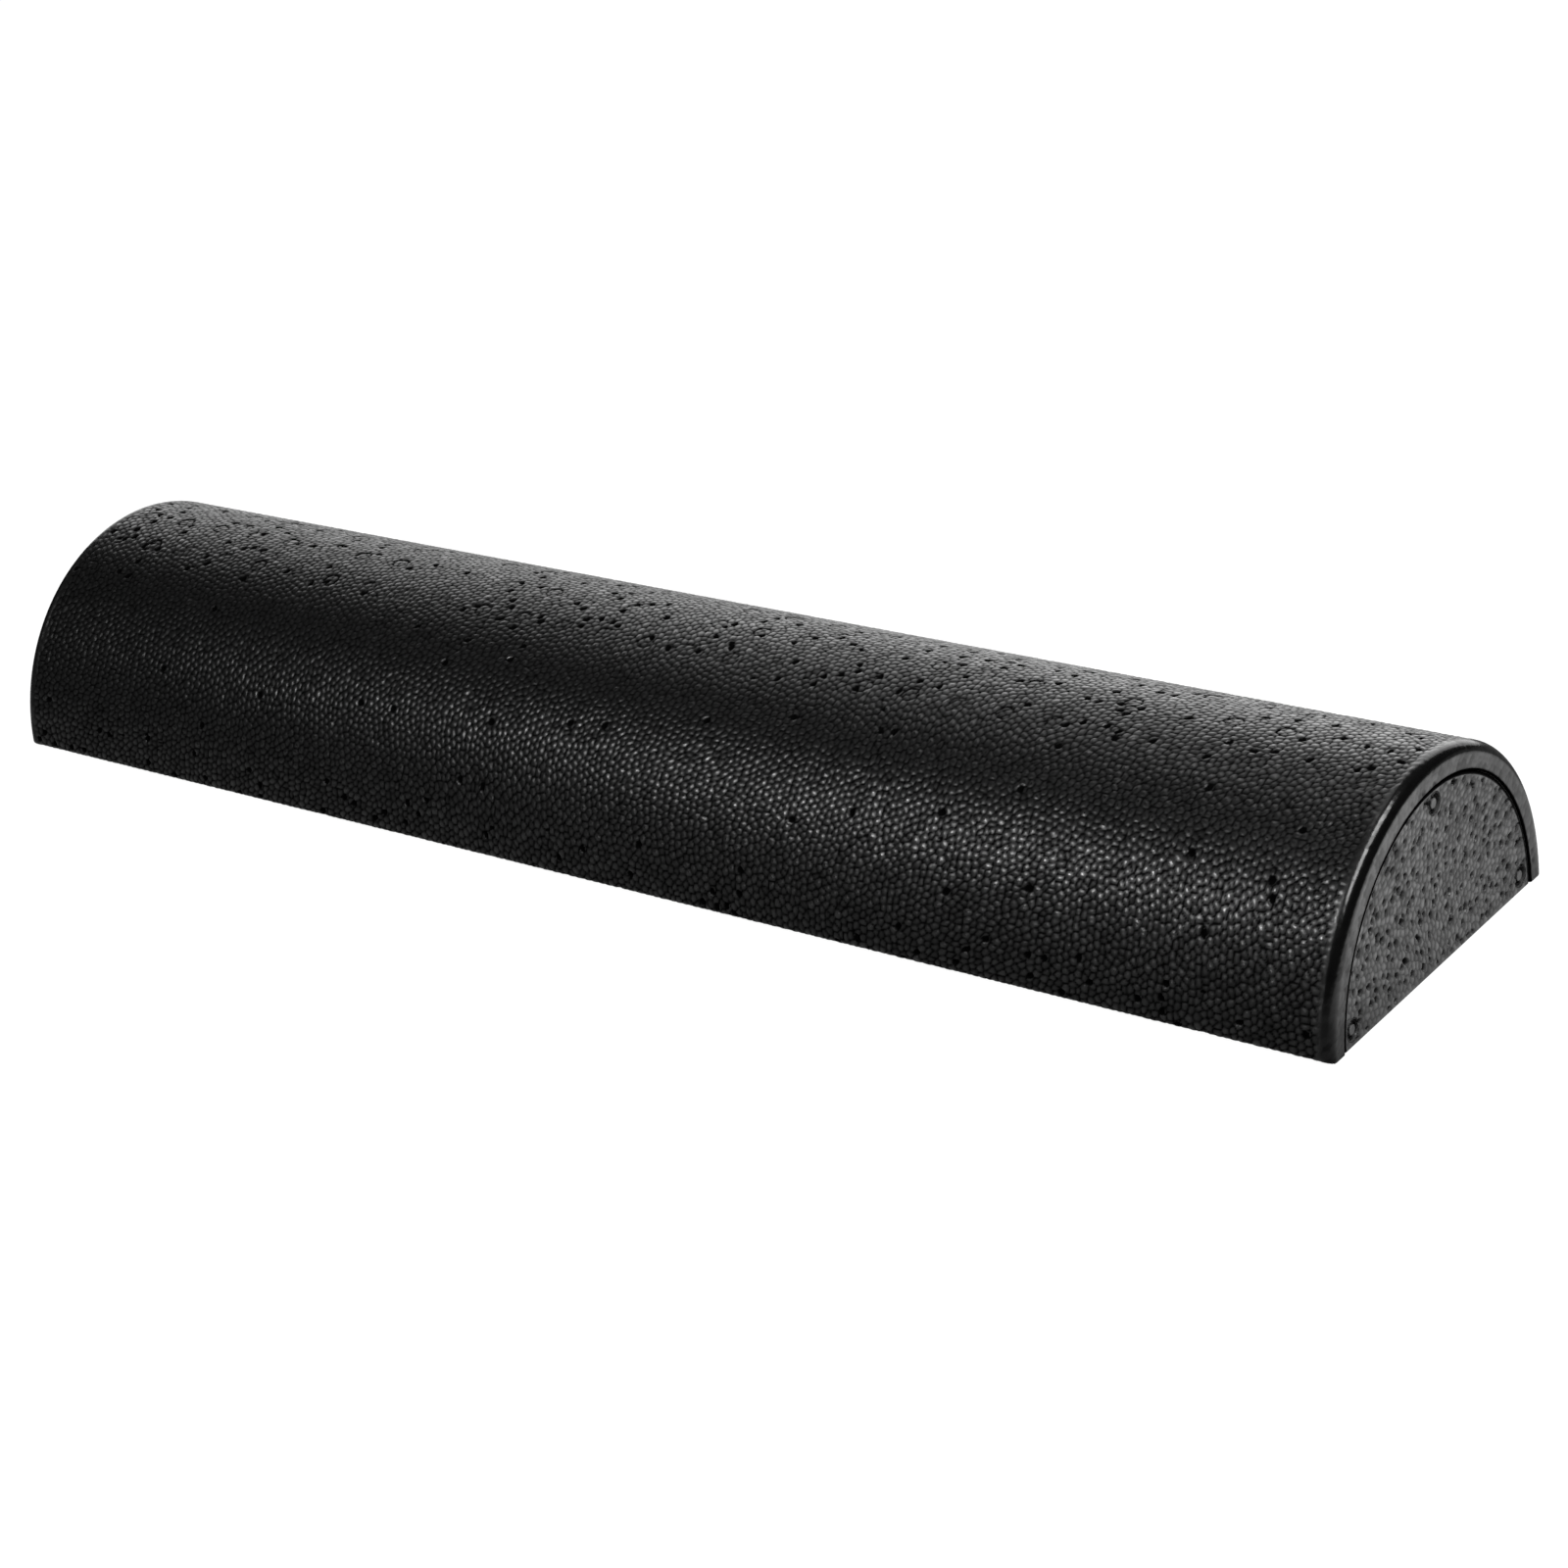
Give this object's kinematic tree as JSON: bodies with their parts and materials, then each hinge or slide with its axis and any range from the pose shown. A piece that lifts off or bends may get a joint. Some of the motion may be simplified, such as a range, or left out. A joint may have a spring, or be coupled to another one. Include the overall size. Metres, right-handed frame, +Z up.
{
  "type": "half-round massage bolster",
  "caption": "Firm half-round foam bolster with a flat base and closed D-shaped ends, laid under a limb or the back during massage and exercise.",
  "frame": {"origin": "middle of the flat base", "axes": "+X along the bolster, +Z up from the flat base to the crown, +Y across it"},
  "size_m": [0.6096, 0.1524, 0.0762],
  "materials": {
    "jacket_foam": "black moulded bead foam, semi-matt skin",
    "core_foam": "black moulded bead foam, open pitted grain",
    "pin_plastic": "black satin"
  },
  "bodies": {
    "root": {"jacket": "jacket_foam", "core": "core_foam", "end_panel_left": "core_foam", "end_panel_right": "core_foam", "pin_left_top": "pin_plastic", "pin_left_front": "pin_plastic", "pin_left_back": "pin_plastic", "pin_right_top": "pin_plastic", "pin_right_front": "pin_plastic", "pin_right_back": "pin_plastic"}
  },
  "joints": []
}
